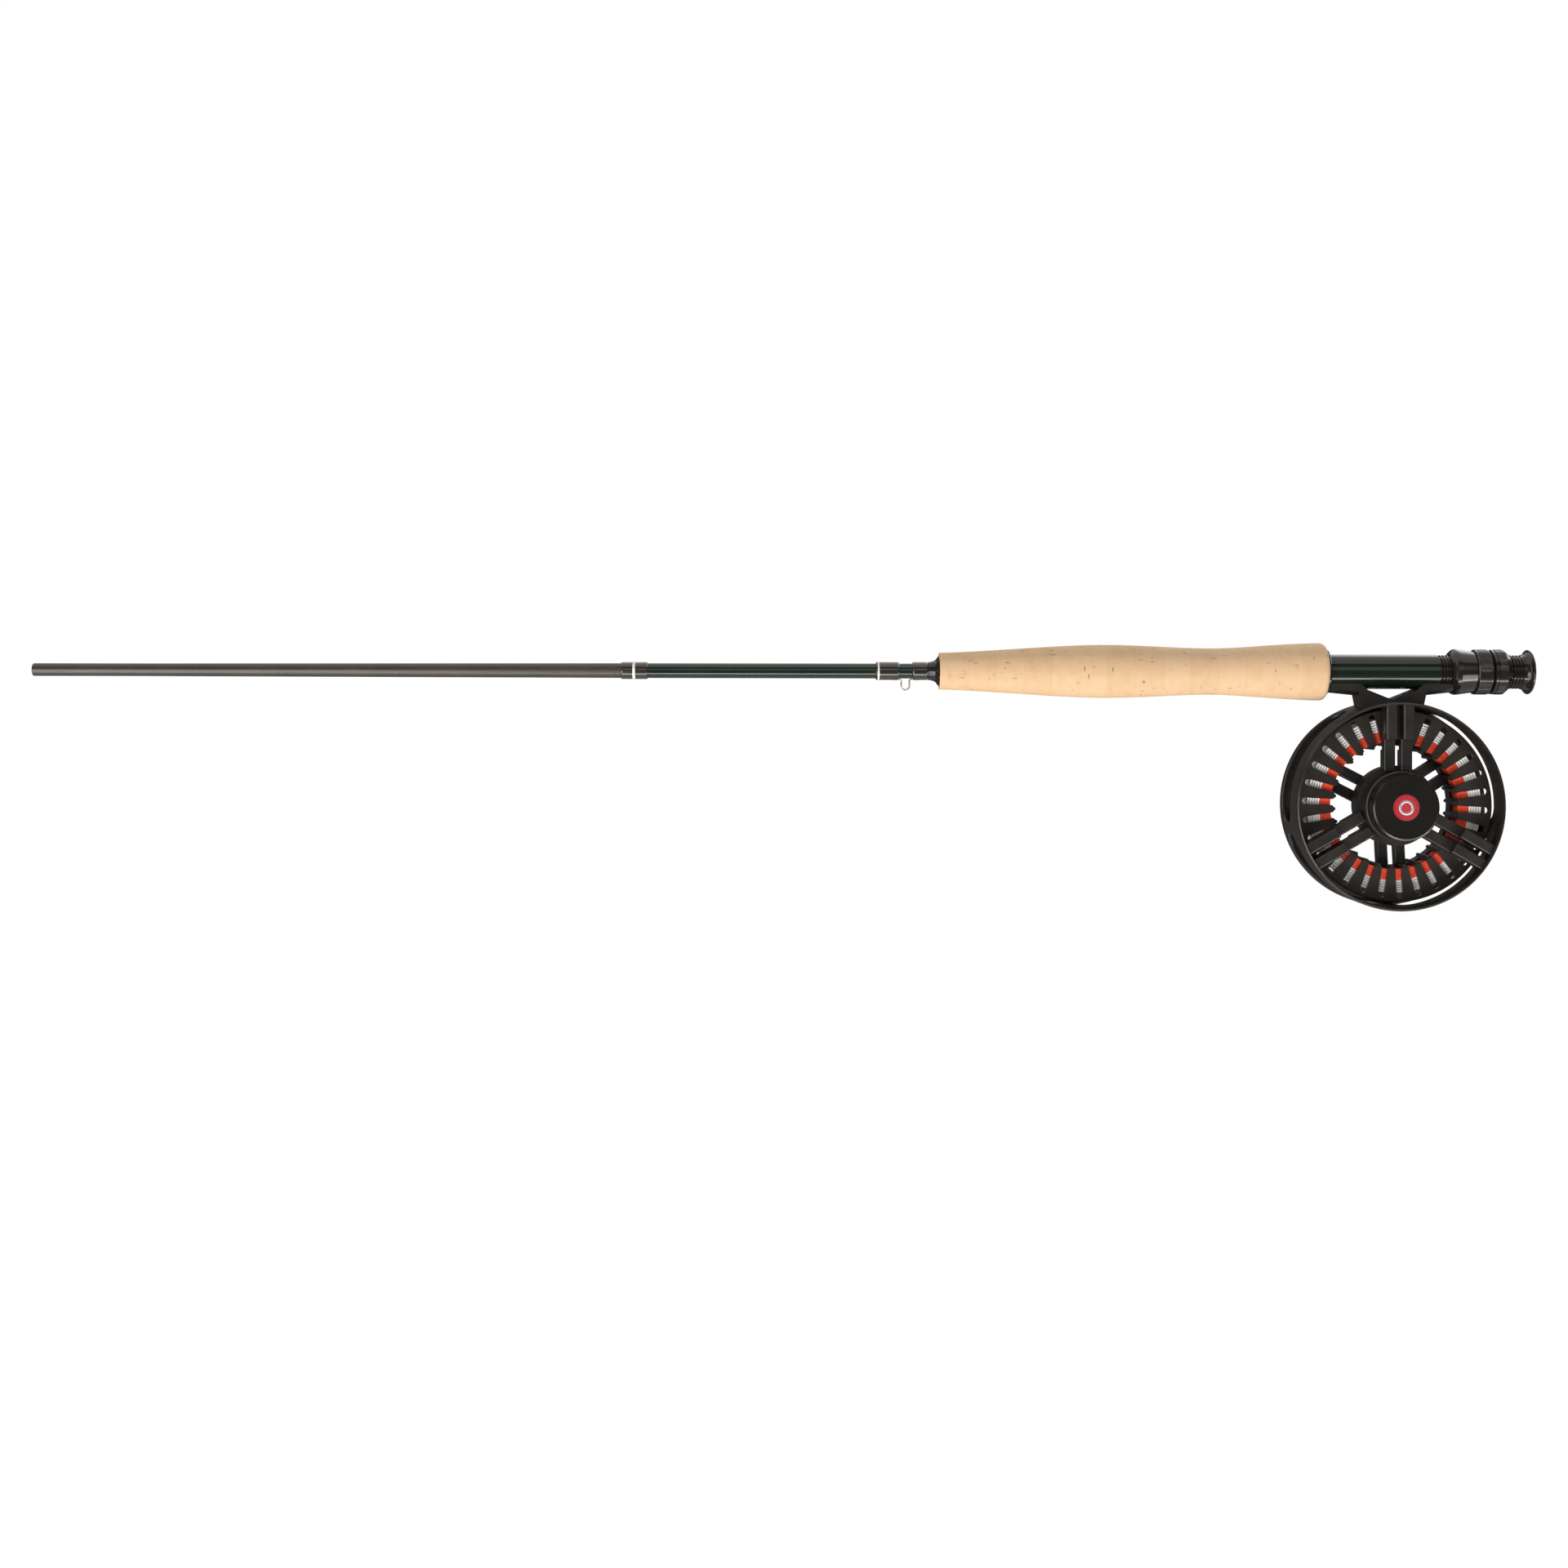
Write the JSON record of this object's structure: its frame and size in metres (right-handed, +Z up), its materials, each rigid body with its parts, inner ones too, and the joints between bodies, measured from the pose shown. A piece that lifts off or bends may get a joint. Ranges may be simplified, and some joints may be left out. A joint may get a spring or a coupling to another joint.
{
  "type": "fly rod butt section with reel",
  "caption": "Butt section of a take-apart fly rod with a cork grip and a screw-locking seat, holding a ported fly reel with a disc drag and a wound line.",
  "frame": {"origin": "on the rod's axis at the middle of the cork grip", "axes": "+X along the rod towards the butt, +Z up, away from the reel, +Y towards the reel's handle side"},
  "size_m": [0.7011, 0.0562, 0.124],
  "materials": {
    "carbon_blank": "matte warm grey forward part, dark green gloss rear part",
    "thread_black": "varnished thread",
    "trim_light": "varnished light thread",
    "steel": "bright",
    "cork": "sanded cork",
    "black_anodised": "satin black anodised",
    "green_anodised": "dark green gloss anodised",
    "reel_black": "satin black anodised casting",
    "rubber": "plain",
    "friction": "carbon fibre disc",
    "brass": "turned",
    "medallion": "crimson enamel",
    "backing": "orange-red braided line",
    "fly_line": "off-white coated line",
    "handle_grip": "satin moulded"
  },
  "bodies": {
    "rod": {"rod_blank": "carbon_blank", "upper_whipping": "thread_black", "upper_trim_band": "trim_light", "keeper_whipping_front": "thread_black", "keeper_whipping_rear": "thread_black", "lower_trim_band": "trim_light", "hook_keeper": "steel", "winding_check": "black_anodised", "cork_grip": "cork", "fixed_hood": "black_anodised", "seat_barrel": "green_anodised", "seat_arbors": "cork", "butt_cap": "black_anodised", "butt_pad": "rubber", "reel_foot": "reel_black", "foot_screws": "steel", "reel_frame": "reel_black", "spindle": "steel", "drag_housing": "reel_black", "drag_springs": "steel", "thrust_washer": "steel", "friction_disc_front": "friction", "friction_disc_rear": "friction", "hub_seal": "rubber", "pawl_pin": "steel", "detent_ball": "steel", "detent_spring": "steel"},
    "hood": {"sliding_hood": "black_anodised", "hood_snap_ring": "steel"},
    "front_nut": {"lock_nut_front": "black_anodised"},
    "rear_nut": {"lock_nut_rear": "black_anodised"},
    "knob": {"drag_knob": "black_anodised", "drag_knob_insert": "brass", "knob_medallion": "medallion", "knob_o_ring": "rubber"},
    "rotor": {"rotor_plate": "steel", "clutch_sleeve": "steel"},
    "spool": {"spool": "reel_black", "backing_winding": "backing", "fly_line_winding": "fly_line", "click_gear": "brass", "spool_bearing": "steel", "one_way_clutch": "steel", "spool_cap": "black_anodised", "latch_spring": "steel", "handle_post": "steel", "handle_screw": "steel", "counterweight": "steel", "counterweight_stud": "steel"},
    "release": {"release_button": "steel"},
    "handle": {"handle_knob": "handle_grip"},
    "pawl": {"click_pawl": "steel", "pawl_spring": "steel"}
  },
  "joints": [
    {"name": "front_nut_turn", "type": "hinge", "parent": "hood", "child": "front_nut", "pos_m": [0.1622, 0, 0], "axis": [1, 0, 0], "range_deg": [0, 1440]},
    {"name": "hood_travel", "type": "slide", "parent": "rod", "child": "hood", "axis": [1, 0, 0], "range_m": [0, 0.006]},
    {"name": "rear_nut_turn", "type": "hinge", "parent": "hood", "child": "rear_nut", "pos_m": [0.1705, 0, 0], "axis": [1, 0, 0], "range_deg": [0, 1440]},
    {"name": "drag_knob_turn", "type": "hinge", "parent": "rod", "child": "knob", "pos_m": [0.1207, 0, -0.0623], "axis": [0, 1, 0], "range_deg": [0, 300]},
    {"name": "drag_rotor_turn", "type": "hinge", "parent": "rod", "child": "rotor", "pos_m": [0.1207, 0, -0.0623], "axis": [0, 1, 0], "continuous": true},
    {"name": "spool_spin", "type": "hinge", "parent": "rod", "child": "spool", "pos_m": [0.1207, 0, -0.0623], "axis": [0, 1, 0], "continuous": true},
    {"name": "handle_spin", "type": "hinge", "parent": "spool", "child": "handle", "pos_m": [0.12258, 0.0215, -0.09825], "axis": [0, 1, 0], "continuous": true},
    {"name": "release_press", "type": "slide", "parent": "spool", "child": "release", "axis": [1, 0, 0], "range_m": [0, 0.0016], "stiffness_N_per_m": 400, "springref_m": -0.001},
    {"name": "click_pawl_swing", "type": "hinge", "parent": "rod", "child": "pawl", "pos_m": [0.1292, 0.0023, -0.04758], "axis": [0, 1, 0], "range_deg": [-9, 9], "stiffness_Nm_per_rad": 0.001}
  ],
  "couplings": [
    {"joint": "front_nut_turn", "follows": "hood_travel", "rad_per_m": 4188.8},
    {"joint": "rear_nut_turn", "follows": "hood_travel", "rad_per_m": 4188.8}
  ]
}
